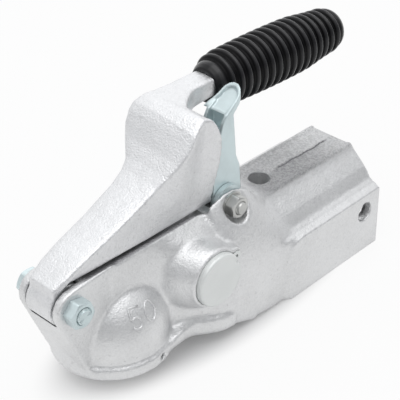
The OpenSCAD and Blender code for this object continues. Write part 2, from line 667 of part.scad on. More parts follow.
module latch_nut() color("darkkhaki") translate([latch_x, 0, latch_z]) difference() {
  y0 = -latch_ear_half - latch_washer_t;
  intersection() {
    hexagon_y(latch_af, y0 - 6.5, y0);
    translate([0, y0, 0]) rotate([90, 0, 0])
      cylinder(r1 = latch_af / 2 + 6, r2 = latch_af / 2 - 0.5, h = 6.5, $fn = fine);
  }
  bar_y(latch_bolt_d / 2, -60, 60, small);
}

module latch_sleeve() color("gray") translate([latch_x, 0, latch_z]) difference() {
  bar_y(sleeve_r, -latch_near - side_gap, latch_far + side_gap, small);
  bar_y(latch_bolt_d / 2, -60, 60, small);
}

// Collar between an ear and the latch
module latch_spacer(side) color("paleturquoise") translate([latch_x, 0, latch_z]) difference() {
  inner = (side > 0 ? latch_far : latch_near) + side_gap;
  bar_y(spacer_r, side > 0 ? inner : -latch_gap_half, side > 0 ? latch_gap_half : -inner);
  bar_y(latch_bolt_d / 2, -60, 60, small);
}
module latch_spacer_near() latch_spacer(-1);
module latch_spacer_far() latch_spacer(1);

// Coil of round wire along Y, with a leg at each end
module coil_y(mean_r, wire_r, y0, y1, turns, a0 = 0, steps = 14, sides = 6) {
  n = turns * steps;
  lead = (y1 - y0) / n;
  rows = [for (i = [0:n]) let (a = a0 + i * 360 / steps) [for (j = [0:sides - 1])
    let (b = j * 360 / sides, r = mean_r + wire_r * cos(b)) [r * cos(a), y0 + lead * i + wire_r * sin(b), r * sin(a)]]];
  skin(rows);
}

module latch_spring() color("slategray") translate([latch_x, 0, latch_z])
  coil_y(sleeve_r + 2, 0.9, -latch_near + latch_t + 1.5, latch_far - latch_t - 1.5, 4);

module cross_pin() color("lightblue") difference() {
  translate([pin_x, 0, pin_z]) {
    half = boss_half + pin_proud;
    bar_y(pin_d / 2, -half + 0.8, half - 0.8);
    bar_y(pin_d / 2 - 0.8, -half, half);
  }
  for (side = [-1, 1]) roll_place(side) bar_y(roll_d / 2, -18, 10, small);
}

module roll_pin(side) color("lightsteelblue") roll_place(side) difference() {
  bar_y(roll_d / 2, -18, 0.8, small);
  bar_y(1.2, -30, 10, 24);
}
module roll_pin_near() roll_pin(-1);
module roll_pin_far() roll_pin(1);

module ball_keeper() color("dimgray") difference() {
  union() {
    translate([pin_x, 0, pin_z]) bar_y(pin_d / 2 + keeper_wall, -keeper_half, keeper_half);
    // Jaw that reaches under the ball
    plate_y([[14, -rim_drop + 0.5], [33, -rim_drop + 0.5], [43, -7], [60, 2], [44, 22], [28, 16], [14, 4]],
      -keeper_half, keeper_half);
    // Arm up into the lever's hood
    plate_y([[29, 34], [29, 57], [31, 58.5], [35, 58.5], [38, 55], [40, 40]], -7.5, 7.5);
  }
  sphere(r = ball_r, $fn = fine);
  translate([0, 0, -rim_drop - 20]) cylinder(r = ball_r * cos(asin(rim_drop / ball_r)), h = 20 + eps, $fn = fine);
  translate([pin_x, 0, pin_z]) bar_y(pin_d / 2 + run_gap, -60, 60);
}

module keeper_pad() color("gray") plate_y([[27.5, 44], [29, 44], [29, 57], [27.5, 56]], -7.5, 7.5);

module keeper_spring() color("slategray") translate([0, 0, 52.5]) rotate([0, 0, -90])
  coil_y(3.4, 0.7, 39.5, 59.2, 7, 90);

module spring_seat() color("gray") translate([0, 0, 52.5]) {
  bar_x(5, 60, 62, small);
  bar_x(2.4, 54, 60.5, small);
}

body_casting();
lever_casting();
rubber_grip();
front_pivot_bolt();
front_pivot_nut();
lever_bush();
lever_wedge();
wedge_screws();
safety_latch();
latch_bolt();
latch_nut();
latch_washer();
latch_sleeve();
latch_spacer_near();
latch_spacer_far();
latch_spring();
cross_pin();
roll_pin_near();
roll_pin_far();
ball_keeper();
keeper_pad();
keeper_spring();
spring_seat();
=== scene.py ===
# Trailer coupling head: eased castings, a ribbed grip, dressed fasteners and a white studio,
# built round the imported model.
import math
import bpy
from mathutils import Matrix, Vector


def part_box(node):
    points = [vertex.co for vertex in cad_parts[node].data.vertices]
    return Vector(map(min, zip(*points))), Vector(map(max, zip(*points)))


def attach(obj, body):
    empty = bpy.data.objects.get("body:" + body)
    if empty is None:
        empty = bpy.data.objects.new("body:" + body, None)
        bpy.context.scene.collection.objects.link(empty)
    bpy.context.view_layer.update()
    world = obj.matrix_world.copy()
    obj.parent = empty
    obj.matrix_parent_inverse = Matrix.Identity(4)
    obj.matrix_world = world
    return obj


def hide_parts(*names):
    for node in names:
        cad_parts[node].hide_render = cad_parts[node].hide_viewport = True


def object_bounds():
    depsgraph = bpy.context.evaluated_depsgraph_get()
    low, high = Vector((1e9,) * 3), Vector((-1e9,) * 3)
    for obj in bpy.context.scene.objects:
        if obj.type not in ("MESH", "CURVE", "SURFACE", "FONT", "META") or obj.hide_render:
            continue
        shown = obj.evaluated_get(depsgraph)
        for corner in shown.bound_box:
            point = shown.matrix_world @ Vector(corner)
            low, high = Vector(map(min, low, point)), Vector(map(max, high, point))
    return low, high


bl_info = {
    "name": "Trailer coupling head",
    "version": (1, 0, 0),
    "blender": (4, 5, 0),
    "location": "3D View > Sidebar > Coupling",
    "description": "Builds the visible pieces, materials and studio of a galvanised trailer coupling head",
    "category": "Object",
}

import bmesh
import bpy
import numpy as np
from bpy.props import FloatProperty, FloatVectorProperty, IntProperty, PointerProperty
from mathutils import Matrix, Vector

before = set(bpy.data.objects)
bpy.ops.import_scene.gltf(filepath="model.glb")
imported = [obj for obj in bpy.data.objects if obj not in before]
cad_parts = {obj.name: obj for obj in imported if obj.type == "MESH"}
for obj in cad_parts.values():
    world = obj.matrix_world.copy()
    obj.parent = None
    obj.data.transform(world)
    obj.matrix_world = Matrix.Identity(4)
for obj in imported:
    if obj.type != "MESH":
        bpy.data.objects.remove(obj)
cad_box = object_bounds()
MM = 0.001
TAU = 2 * math.pi

# Grip sizes in millimetres and its fall in degrees
GRIP_FRONT = (100.0, 18.0, 110.8)
GRIP_FALL = 2.5
GRIP_LENGTH = 122.0
GRIP_WIDTH = 37.4
COLLAR_WIDTH = 32.0
BAND_LENGTH = 6.2
BAND_WIDTH = 27.8
MOUTH_WIDTH = 22.2
END_LENGTH = 8.0
END_ROUND = 7.0
END_WALL = 7.9
GROOVE = 2.7
BORE = 8.0

# Parting ridge on the tail's top in millimetres; a wave is its size, its radians a millimetre and its start
RIDGE_START, RIDGE_END = 141, 200
RIDGE_HEIGHT, RIDGE_WIDTH, RIDGE_OFFSET = 1.15, 1.15, 1.0
RIDGE_WAVES = ((0.45, 0.13, 0.0), (0.3, 0.47, 1.0))


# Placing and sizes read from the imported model

def middle(node):
    """Centre of a CAD node's box, in metres."""
    low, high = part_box(node)
    return (low + high) / 2


def box_mm(node):
    """Lowest and highest corners of a CAD node's box, in millimetres."""
    return tuple(np.array(corner, float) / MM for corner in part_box(node))


def flats_of(node):
    """Width across flats of a nut that lies on the Y axis, in millimetres."""
    low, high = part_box(node)
    return min((high.x - low.x) / MM, (high.z - low.z) / MM)


def along_y(x, z):
    """Matrix that lays a piece built along Z on the Y axis through x, z, with its +Z end towards +Y."""
    return Matrix.Translation((x, 0, z)) @ Matrix.Rotation(-math.pi / 2, 4, "X")


# Mesh building

def piece(name, verts, faces, body, material, replaces=(), sharp_from=None):
    """A mesh piece that rides on a body, takes a material and stands for CAD nodes."""
    mesh = bpy.data.meshes.new(name)
    mesh.from_pydata([tuple(v) for v in verts], [], [tuple(f) for f in faces])
    mesh.validate()
    mesh.update()
    adopt(bpy.data.objects.new(name, mesh), body, material, replaces, sharp_from)


def adopt(made, body, material, replaces=(), sharp_from=None):
    bpy.context.scene.collection.objects.link(made)
    made.data.materials.clear()
    made.data.materials.append(material)
    outward = bmesh.new()
    outward.from_mesh(made.data)
    bmesh.ops.recalc_face_normals(outward, faces=outward.faces)
    outward.to_mesh(made.data)
    outward.free()
    made.data.polygons.foreach_set("use_smooth", [True] * len(made.data.polygons))
    if sharp_from is not None:
        made.data.set_sharp_from_angle(angle=math.radians(sharp_from))
    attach(made, body)
    if replaces:
        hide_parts(*replaces)


def place(verts, matrix):
    """Points in metres from points in millimetres, moved by a matrix."""
    points = np.asarray(verts, float) * MM
    turn = np.array(matrix.to_3x3())
    return points @ turn.T + np.array(matrix.translation)


def grid_faces(rows, columns, closed_rows=False):
    """Quads of a grid whose columns close round, and whose rows may close too."""
    faces = []
    for i in range(rows if closed_rows else rows - 1):
        for j in range(columns):
            a, b = i * columns, ((i + 1) % rows) * columns
            k = (j + 1) % columns
            faces.append((a + j, a + k, b + k, b + j))
    return faces


def ring_points(rings, around):
    """Points of rings about Z from (radius, height) pairs, each a number or one value a point."""
    angles = np.arange(around) * TAU / around
    level = np.ones(around)
    rows = [np.stack([r * np.cos(angles), r * np.sin(angles), z * level], 1) for r, z in rings]
    return np.concatenate(rows)


def lathe(profile, around):
    """A turned solid about Z from (radius, height) pairs, closed on itself where it has a bore."""
    bored = profile[0][0] > 0 and profile[-1][0] > 0
    return weld(ring_points(profile, around), grid_faces(len(profile), around, bored))


def weld(verts, faces, distance=1e-4):
    """Merges points that fall together, such as those of a lathe's pole."""
    keys = np.round(np.asarray(verts) / distance).astype(np.int64)
    _, first, back = np.unique(keys, axis=0, return_index=True, return_inverse=True)
    back = back.reshape(-1)
    kept = []
    for face in faces:
        corners = list(dict.fromkeys(int(back[i]) for i in face))
        if len(corners) > 2:
            kept.append(corners)
    return np.asarray(verts)[first], kept


def join(*parts):
    """One mesh from several (verts, faces) pairs."""
    verts, faces, start = [], [], 0
    for points, corners in parts:
        verts.append(np.asarray(points))
        faces += [tuple(i + start for i in face) for face in corners]
        start += len(points)
    return np.concatenate(verts), faces


def tube(path, radius, sides=10):
    """A round tube along a path of points, closed at both ends."""
    path = np.asarray(path, float)
    ahead = np.gradient(path, axis=0)
    ahead /= np.linalg.norm(ahead, axis=1)[:, None]
    up = np.cross(ahead[0], (0.31, 0.17, 0.93))
    up /= np.linalg.norm(up)
    angles = np.arange(sides)[:, None] * TAU / sides
    rows = []
    for point, direction in zip(path, ahead):
        up = up - direction * np.dot(up, direction)
        up /= np.linalg.norm(up)
        side = np.cross(direction, up)
        rows.append(point + radius * (np.cos(angles) * up + np.sin(angles) * side))
    rows = [np.repeat(path[:1], sides, 0)] + rows + [np.repeat(path[-1:], sides, 0)]
    return weld(np.concatenate(rows), grid_faces(len(rows), sides))


def helix(radius, start, end, turns, steps):
    """A helix: its two offsets across the axis and its places along it, steps of them a turn."""
    angles = np.linspace(0, TAU * turns, turns * steps)
    return radius * np.cos(angles), radius * np.sin(angles), np.linspace(start, end, len(angles))


# Bolts and nuts: built in millimetres along Z, head up

# Shares of the width across flats, and the angle of the turned chamfer in degrees
HEX_CORNER, HEX_CROWN, HEX_WASHER = 1.13, 0.93, 0.98
HEX_CHAMFER = 30.0
THREAD_AROUND = 60
THREAD_CHAMFER = 0.9
RINGS_A_TURN = 8
# Turns a mesh that was built head up the other way
FLIP = np.array([1, -1, -1])


def hexagon_radius(angle, flats):
    """Distance from the middle to the side of a hexagon with a width across flats."""
    return flats / 2 / math.cos((angle % (TAU / 6)) - TAU / 12)


def hexagon_solid(flats, height, hole=0.0, washer=0.0, turn=0.0, around=96):
    """A nut (hole above 0) or bolt head, with a turned chamfer on its free end and broken edges."""
    angles = np.arange(around) * TAU / around
    wide = np.array([hexagon_radius(a + turn, flats) for a in angles])
    soft = np.minimum(wide, flats / 2 * HEX_CORNER)
    crown = flats / 2 * HEX_CROWN
    drop = (soft - crown) * math.tan(math.radians(HEX_CHAMFER))
    if hole > 0:
        rings = [(hole + 0.6, 0.0), (hole, 0.6), (hole, height - 0.7), (hole + 0.7, height)]
    else:
        rings = [(0.0, height)]
    rings += [(crown - 0.5, height), (crown, height - 0.06)]
    rings += [(crown + (soft - crown) * t, height - drop * t) for t in (0.25, 0.5, 0.75, 0.94)]
    rings.append((soft, height - drop - 0.18))
    if washer > 0:
        face = flats / 2 * HEX_WASHER
        rings += [(soft, washer + 0.3), (face, washer), (face, 0.0)]
    else:
        rings += [(soft, 0.15), (soft - 0.15, 0.0)]
    if hole <= 0:
        rings.append((0.0, 0.0))
    verts, faces = ring_points(rings, around), grid_faces(len(rings), around, hole > 0)
    return (verts, faces) if hole > 0 else weld(verts, faces)


def threaded(radius, pitch, low, high, depth):
    """A rod with a helical thread and a chamfered free end at its high end."""
    steps = max(2, int((high - low) / pitch * RINGS_A_TURN))
    angles = np.arange(THREAD_AROUND) * TAU / THREAD_AROUND
    rings = [(0.0, low)]
    for i in range(steps + 1):
        z = low + (high - THREAD_CHAMFER - low) * i / steps
        phase = (z / pitch - angles / TAU) % 1.0
        # The clip leaves flat crests and roots between the flanks
        ridge = np.clip(np.abs(2 * phase - 1) * 1.6 - 0.3, 0, 1)
        rings.append((radius - depth * (1 - ridge), z))
    rings += [(radius - THREAD_CHAMFER * 0.75, high), (radius * 0.45, high), (0.0, high)]
    return weld(ring_points(rings, THREAD_AROUND), grid_faces(len(rings), THREAD_AROUND))


def stake(points, end):
    """Presses chisel marks into a thread's free end."""
    for i, (x, y, z) in enumerate(points):
        if z < end - 1.2:
            continue
        along, across = x * 0.94 + y * 0.34, y * 0.94 - x * 0.34
        slot = math.exp(-(across / 0.7) ** 2) * (1 if abs(along) > 1.2 else 0.35)
        points[i][2] = z - 0.9 * slot - 0.25 * math.sin(x * 2.1) * math.sin(y * 1.7)


def bolt(radius, pitch, flats, seat, top, tip, washer, bite=0.0, depth=0.6, staked=False, around=48):
    """A hexagon bolt: head from seat to top, shank as far as -seat, thread down to tip."""
    shank = [(0, seat + bite), (radius, seat + bite), (radius, -seat), (0, -seat)]
    head, head_faces = hexagon_solid(flats, top - seat, washer=washer)
    thread, thread_faces = threaded(radius, pitch, seat - 1, -tip, depth)
    if staked:
        stake(thread, -tip)
    head = head + np.array([0, 0, seat])
    return join(lathe(shank, around), (head, head_faces), (thread * FLIP, thread_faces))


def nut(node, hole, turn):
    """A nut where its CAD node is, turned on its bolt by some degrees."""
    low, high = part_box(node)
    verts, faces = hexagon_solid(flats_of(node), (high.y - low.y) / MM, hole, turn=math.radians(turn))
    return verts * FLIP + np.array([0, 0, high.y / MM]), faces


# Castings: a copy of the CAD mesh, remeshed finely and eased like cast metal

# Share of the way to its neighbours' middle that a point takes, and that it gives back
EASE_TAKES, EASE_GIVES = 0.55, -0.42


def remeshed(node, name, voxel, *easings):
    """A fine copy of a CAD node's mesh; an easing is (passes, give), with give(points) from 0 to 1, soft."""
    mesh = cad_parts[node].data.copy()
    welded = bmesh.new()
    welded.from_mesh(mesh)
    bmesh.ops.remove_doubles(welded, verts=welded.verts, dist=1e-6)
    welded.to_mesh(mesh)
    welded.free()
    rough = bpy.data.objects.new(name + "_source", mesh)
    bpy.context.scene.collection.objects.link(rough)
    remesh = rough.modifiers.new("fine", "REMESH")
    remesh.mode = "VOXEL"
    remesh.voxel_size = voxel
    remesh.adaptivity = 0.0
    bpy.context.view_layer.update()
    fine = bpy.data.meshes.new_from_object(rough.evaluated_get(bpy.context.evaluated_depsgraph_get()))
    bpy.data.objects.remove(rough)
    if len(fine.vertices) < 100:
        raise RuntimeError(f"the remesh of {node} is empty")
    points = points_of(fine)
    edges = np.zeros(len(fine.edges) * 2, np.int64)
    fine.edges.foreach_get("vertices", edges)
    edges = edges.reshape(-1, 2)
    for passes, give in easings:
        soft = np.ones(len(points)) if give is None else give(points / MM)
        points = eased(points, edges, soft, passes)
    set_points(fine, np.clip(points, *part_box(node)))
    return bpy.data.objects.new(name, fine)


def points_of(mesh):
    """The places of a mesh's points, in metres."""
    points = np.zeros(len(mesh.vertices) * 3, np.float32)
    mesh.vertices.foreach_get("co", points)
    return points.reshape(-1, 3).astype(float)


def set_points(mesh, points):
    """Moves a mesh's points to new places, in metres."""
    mesh.vertices.foreach_set("co", points.astype(np.float32).ravel())
    mesh.update()


def eased(points, edges, give, passes):
    """Laplacian easing that gives back most of the volume it takes."""
    count = np.bincount(edges.ravel(), minlength=len(points)).astype(float)
    count[count == 0] = 1
    ends = np.concatenate([edges, edges[:, ::-1]])
    for step in range(passes * 2):
        share = EASE_TAKES if step % 2 == 0 else EASE_GIVES
        total = np.stack([np.bincount(ends[:, 0], points[ends[:, 1], k], len(points)) for k in range(3)], 1)
        points = points + (total / count[:, None] - points) * (share * give)[:, None]
    return points


def near_box(points, low, high, reach):
    """1 inside a box, falling to 0 at a reach outside it."""
    gap = np.maximum(np.maximum(np.array(low) - points, points - np.array(high)), 0)
    return np.clip(1 - np.linalg.norm(gap, axis=1) / reach, 0, 1)


# Shader nodes

def add(tree, kind, values=None, **settings):
    """A shader node with settings and socket values."""
    made = tree.nodes.new(kind)
    for key, value in settings.items():
        setattr(made, key, value)
    for key, value in (values or {}).items():
        made.inputs[key].default_value = value
    return made


def math_node(tree, operation, *terms, clamp=False):
    """The result of a sum on sockets or numbers."""
    made = add(tree, "ShaderNodeMath", operation=operation, use_clamp=clamp)
    for i, value in enumerate(terms):
        if isinstance(value, bpy.types.NodeSocket):
            tree.links.new(value, made.inputs[i])
        else:
            made.inputs[i].default_value = value
    return made.outputs[0]


def times(tree, first, *others):
    """The product of sockets or numbers."""
    for other in others:
        first = math_node(tree, "MULTIPLY", first, other)
    return first


def plus(tree, first, *others):
    """The sum of sockets or numbers."""
    for other in others:
        first = math_node(tree, "ADD", first, other)
    return first


def step_mask(tree, value, low, high):
    """A smooth mask that goes from 0 at low to 1 at high."""
    limits = {"From Min": low, "From Max": high}
    made = add(tree, "ShaderNodeMapRange", limits, interpolation_type="SMOOTHSTEP")
    tree.links.new(value, made.inputs["Value"])
    return made.outputs["Result"]


def between(tree, value, rise, fall):
    """A mask that rises over one stretch and falls over another."""
    return times(tree, step_mask(tree, value, *rise), step_mask(tree, value, *fall))


def ranged(tree, share, low, high):
    """A value that goes from low to high as a share goes from 0 to 1."""
    return math_node(tree, "MULTIPLY_ADD", share, high - low, low)


def mixed(tree, factor, one, two):
    """Two colours, each a socket or three numbers, mixed by a factor."""
    made = add(tree, "ShaderNodeMix", data_type="RGBA")
    tree.links.new(factor, made.inputs[0])
    for key, value in ((6, one), (7, two)):
        if isinstance(value, bpy.types.NodeSocket):
            tree.links.new(value, made.inputs[key])
        else:
            made.inputs[key].default_value = (*value, 1)
    return made.outputs[2]


def places(tree, coordinates="Object"):
    """Texture coordinates as one vector, and as x, y and z."""
    where = add(tree, "ShaderNodeTexCoord").outputs[coordinates]
    split = add(tree, "ShaderNodeSeparateXYZ")
    tree.links.new(where, split.inputs[0])
    return where, split.outputs[:3]


def texture(tree, kind, where, scale, values=None):
    """A texture node at a scale in cycles a metre, which may be a socket."""
    made = add(tree, kind, values)
    tree.links.new(where, made.inputs["Vector"])
    if isinstance(scale, bpy.types.NodeSocket):
        tree.links.new(scale, made.inputs["Scale"])
    else:
        made.inputs["Scale"].default_value = scale
    return made


def noise(tree, where, scale, detail, rough):
    """A noise value from 0 to 1."""
    values = {"Detail": detail, "Roughness": rough}
    return texture(tree, "ShaderNodeTexNoise", where, scale, values).outputs["Fac"]


# Skins that more than one finish uses, as node groups

def skin_group(name, inputs):
    """An empty skin with float inputs {name: default}; it puts out tone, roughness and height."""
    group = bpy.data.node_groups.new(name, "ShaderNodeTree")
    for key, value in inputs.items():
        made = group.interface.new_socket(name=key, in_out="INPUT", socket_type="NodeSocketFloat")
        made.default_value = value
    for key in ("Tone", "Rough", "Height"):
        group.interface.new_socket(name=key, in_out="OUTPUT", socket_type="NodeSocketFloat")
    return group, add(group, "NodeGroupInput").outputs, add(group, "NodeGroupOutput").inputs


def cast_grain_group():
    """Cast and galvanised skin: slow clouds, zinc spangle, fine grain, small waves and pits."""
    group, given, out = skin_group("cast_grain", {"Clouds": 28.0, "Grain": 900.0, "Pitting": 0.5})
    where = add(group, "ShaderNodeTexCoord").outputs["Object"]
    clouds = noise(group, where, given["Clouds"], 4.0, 0.6)
    grain = noise(group, where, given["Grain"], 3.0, 0.65)
    spangle = texture(group, "ShaderNodeTexVoronoi", where, 340.0).outputs["Distance"]
    pits = times(group, step_mask(group, noise(group, where, 420.0, 2.0, 0.5), 0.62, 0.8), given["Pitting"])
    peel = noise(group, where, 850.0, 1.5, 0.5)
    waves = noise(group, where, 140.0, 1.0, 0.5)
    tone = plus(group, times(group, clouds, 0.5), times(group, grain, 0.5))
    tone = math_node(group, "ADD", tone, times(group, spangle, 0.15), clamp=True)
    tone = math_node(group, "SUBTRACT", tone, times(group, pits, 0.8), clamp=True)
    rough = plus(group, times(group, clouds, 0.5), times(group, spangle, 0.5))
    height = plus(group, times(group, grain, 0.5), times(group, peel, 1.3), times(group, waves, 1.2))
    group.links.new(tone, out["Tone"])
    group.links.new(rough, out["Rough"])
    group.links.new(math_node(group, "SUBTRACT", height, pits), out["Height"])


def plating_group():
    """Zinc plating: faint clouds of the passivation and fine scratches."""
    group, given, out = skin_group("plating", {"Clouds": 60.0, "Scratches": 700.0})
    where = add(group, "ShaderNodeTexCoord").outputs["Object"]
    clouds = noise(group, where, given["Clouds"], 3.0, 0.6)
    stretch = add(group, "ShaderNodeMapping", {"Scale": (1.0, 0.12, 1.0)})
    group.links.new(where, stretch.inputs["Vector"])
    lines = noise(group, stretch.outputs[0], given["Scratches"], 2.0, 0.6)
    group.links.new(clouds, out["Tone"])
    group.links.new(plus(group, times(group, clouds, 0.6), times(group, lines, 0.4)), out["Rough"])
    group.links.new(lines, out["Height"])


def skin_node(tree, group):
    """A skin placed in a material."""
    skin = add(tree, "ShaderNodeGroup")
    skin.node_tree = bpy.data.node_groups[group]
    return skin


# Finishes

# Where the body's skin changes and where shade is painted on it, in metres: each pair is where a mask is 0
# and where it is 1
# TOP_PALER: where a painted highlight turns the tail's top paler towards its rear
TOP_HEIGHT, TOP_START, TOP_PALER = (0.0371, 0.0392), (0.104, 0.128), (0.16, 0.205)
# RIDGE_NEAR_SIDE is the tail top's darker near half; the rest place a line of painted shade beside the
# parting ridge
RIDGE_NEAR_SIDE, RIDGE_SHADE_EDGE = (-0.0006, 0.0008), (0.0009, 0.0003)
RIDGE_SHADE_START, RIDGE_SHADE_END = (0.142, 0.15), (0.2, 0.192)
RIDGE_SHADE_OFFSET = 0.0011
# Painted shade in the drawbar's pocket (POCKET) and on the rail under the lever's lower edge (GAP)
POCKET_START, POCKET_TOP, POCKET_SIDE = (0.104, 0.116), (0.019, 0.014), (0.039, 0.0372)
GAP_HEIGHT, GAP_SIDE = (0.0503, 0.0521), (0.0154, 0.0145)
GAP_START, GAP_END = (-0.034, -0.026), (0.079, 0.072)


def new_material(name, color, metallic, roughness, specular=0.5):
    """A material with its tree and shader, ready for more nodes."""
    made = bpy.data.materials.new(name)
    made.use_nodes = True
    tree = made.node_tree
    shader = tree.nodes["Principled BSDF"]
    shader.inputs["Base Color"].default_value = (*color, 1)
    shader.inputs["Metallic"].default_value = metallic
    shader.inputs["Roughness"].default_value = roughness
    shader.inputs["Specular IOR Level"].default_value = specular
    made.diffuse_color = (*color, 1)
    return made, tree, shader


def surface(tree, shader, color, roughness, height, distance):
    """Feeds a colour, a roughness and a height, in metres at 1, into a shader."""
    bump = add(tree, "ShaderNodeBump", {"Strength": 1.0, "Distance": distance})
    tree.links.new(height, bump.inputs["Height"])
    tree.links.new(bump.outputs[0], shader.inputs["Normal"])
    tree.links.new(color, shader.inputs["Base Color"])
    tree.links.new(roughness, shader.inputs["Roughness"])


def galvanised(name, tones, rough, grain, dark=None):
    """Hot-dip galvanised cast metal; a dark tone adds the body's rough, dark tail top, and painted shade in
    the drawbar's pocket and on the rail under the lever.
    """
    made, tree, shader = new_material(name, tones[1], 0.8, rough[0])
    skin = skin_node(tree, "cast_grain")
    color = mixed(tree, step_mask(tree, skin.outputs["Tone"], 0.3, 0.75), tones[0], tones[1])
    height = skin.outputs["Height"]
    if dark is not None:
        where, (x, y, z) = places(tree)
        top_skin_and_painted_light, sand = tail_top(tree, where, x, y, z)
        # The dark tone covers the tail's own dark skin, with its painted shade and highlight, and the painted
        # shade in the pocket and under the lever
        shadow = math_node(tree, "MAXIMUM", top_skin_and_painted_light, times(tree, painted_hollow_shade(tree, x, y, z), 0.85))
        color = mixed(tree, shadow, color, dark)
        height = plus(tree, height, sand)
    surface(tree, shader, color, ranged(tree, skin.outputs["Rough"], *rough), height, grain)
    return made


def tail_top(tree, where, x, y, z):
    """How dark the tail's top is, with specks, painted shade in a line beside the ridge and a painted
    highlight that makes its rear paler, and how sandy.
    """
    rasp = noise(tree, where, 640.0, 3.0, 0.7)
    level = plus(tree, z, times(tree, noise(tree, where, 90.0, 3.0, 0.6), 0.0018))
    top = times(tree, step_mask(tree, level, *TOP_HEIGHT), step_mask(tree, x, *TOP_START))
    beside = math_node(tree, "SUBTRACT", ridge_line(tree, x), y)
    share = plus(tree, times(tree, step_mask(tree, rasp, 0.56, 0.44), 0.26), 0.32)
    share = plus(tree, share, times(tree, step_mask(tree, beside, *RIDGE_NEAR_SIDE), 0.22))
    # Painted highlight: the top turns paler towards its rear
    share = math_node(tree, "SUBTRACT", share, times(tree, step_mask(tree, x, *TOP_PALER), 0.4))
    # Painted shade: a dark line just beside the parting ridge
    ridge_shade = math_node(tree, "ABSOLUTE", plus(tree, beside, -RIDGE_SHADE_OFFSET))
    ridge_shade = times(tree, step_mask(tree, ridge_shade, *RIDGE_SHADE_EDGE), between(tree, x, RIDGE_SHADE_START, RIDGE_SHADE_END))
    # The tail's own dark skin together with its painted shade and painted highlight
    top_skin_and_painted_light = math_node(tree, "MULTIPLY", top, math_node(tree, "MAXIMUM", share, ridge_shade), clamp=True)
    return top_skin_and_painted_light, times(tree, top, rasp, 7.0)


def ridge_line(tree, x):
    """Where across the tail's top its parting ridge runs, in metres, at a place along it."""
    path = -RIDGE_OFFSET * MM
    for size, pace, start in RIDGE_WAVES:
        angle = plus(tree, times(tree, x, pace / MM), start)
        path = plus(tree, times(tree, math_node(tree, "SINE", angle), size * MM), path)
    return path


def painted_hollow_shade(tree, x, y, z):
    """1 in the drawbar's pocket and on the rail under the lever's lower edge, where shade is painted into the
    colour.
    """
    across = math_node(tree, "ABSOLUTE", y)
    pocket = times(tree, step_mask(tree, x, *POCKET_START), step_mask(tree, z, *POCKET_TOP))
    pocket = times(tree, pocket, step_mask(tree, across, *POCKET_SIDE))
    gap = times(tree, step_mask(tree, z, *GAP_HEIGHT), between(tree, x, GAP_START, GAP_END))
    gap = times(tree, gap, step_mask(tree, across, *GAP_SIDE))
    return math_node(tree, "MAXIMUM", pocket, gap)


def plated(name, tones, metallic, rough, scratches=700.0):
    """Zinc-plated or bare steel in two close tones."""
    made, tree, shader = new_material(name, tones[1], metallic, rough[0])
    skin = skin_node(tree, "plating")
    skin.inputs["Scratches"].default_value = scratches
    color = mixed(tree, step_mask(tree, skin.outputs["Tone"], 0.3, 0.7), tones[0], tones[1])
    surface(tree, shader, color, ranged(tree, skin.outputs["Rough"], *rough), skin.outputs["Height"], 0.00002)
    return made


def rubber(name, tones, rough, rings):
    """Moulded black rubber with a glossy coat on the crests of its rings, a painted highlight in lighter
    colour on the crests and ends, and painted shade in darker colour in the grooves.
    """
    made, tree, shader = new_material(name, tones[0], 0.0, rough[0], 0.12)
    where = add(tree, "ShaderNodeTexCoord").outputs["Object"]
    clouds = noise(tree, where, 45.0, 3.0, 0.6)
    grain = noise(tree, where, 1500.0, 2.0, 0.6)
    crest = ring_crests(tree, where, rings)
    # Painted highlight: lighter copies of the rubber's colour for the crests
    lit_crest_tone = mixed(tree, step_mask(tree, clouds, 0.35, 0.7), tones[1], tones[2])
    shader.inputs["Coat Roughness"].default_value = rough[0]
    tree.links.new(plus(tree, times(tree, crest, 0.7), 0.06), shader.inputs["Coat Weight"])
    # Crests and ends take the painted highlight, grooves the darker painted shade
    surface(tree, shader, mixed(tree, crest, tones[0], lit_crest_tone), ranged(tree, grain, *rough), grain, 0.00005)
    return made


def ring_crests(tree, where, rings):
    """1 on the crests of the grip's rings, half that on its two ends, 0 in the grooves."""
    fall = math.radians(GRIP_FALL)
    axis = Vector((math.cos(fall), 0, -math.sin(fall)))
    along = add(tree, "ShaderNodeVectorMath", {1: axis}, operation="DOT_PRODUCT")
    tree.links.new(where, along.inputs[0])
    start = axis.dot(Vector(GRIP_FRONT) * MM) + BAND_LENGTH * MM
    step = math_node(tree, "SUBTRACT", along.outputs["Value"], start)
    step = math_node(tree, "DIVIDE", step, ring_pitch(rings) * MM)
    crest = between(tree, math_node(tree, "FRACT", step), (0.36, 0.58), (1.0, 0.8))
    front, rear = step_mask(tree, step, 0.05, -0.05), step_mask(tree, step, rings - 0.02, rings + 0.1)
    ends = times(tree, math_node(tree, "MAXIMUM", front, rear), 0.5)
    return math_node(tree, "MAXIMUM", crest, ends)


def shaded(tone, share):
    """A darker or lighter copy of a colour."""
    return tuple(min(1.0, c * share) for c in tone)


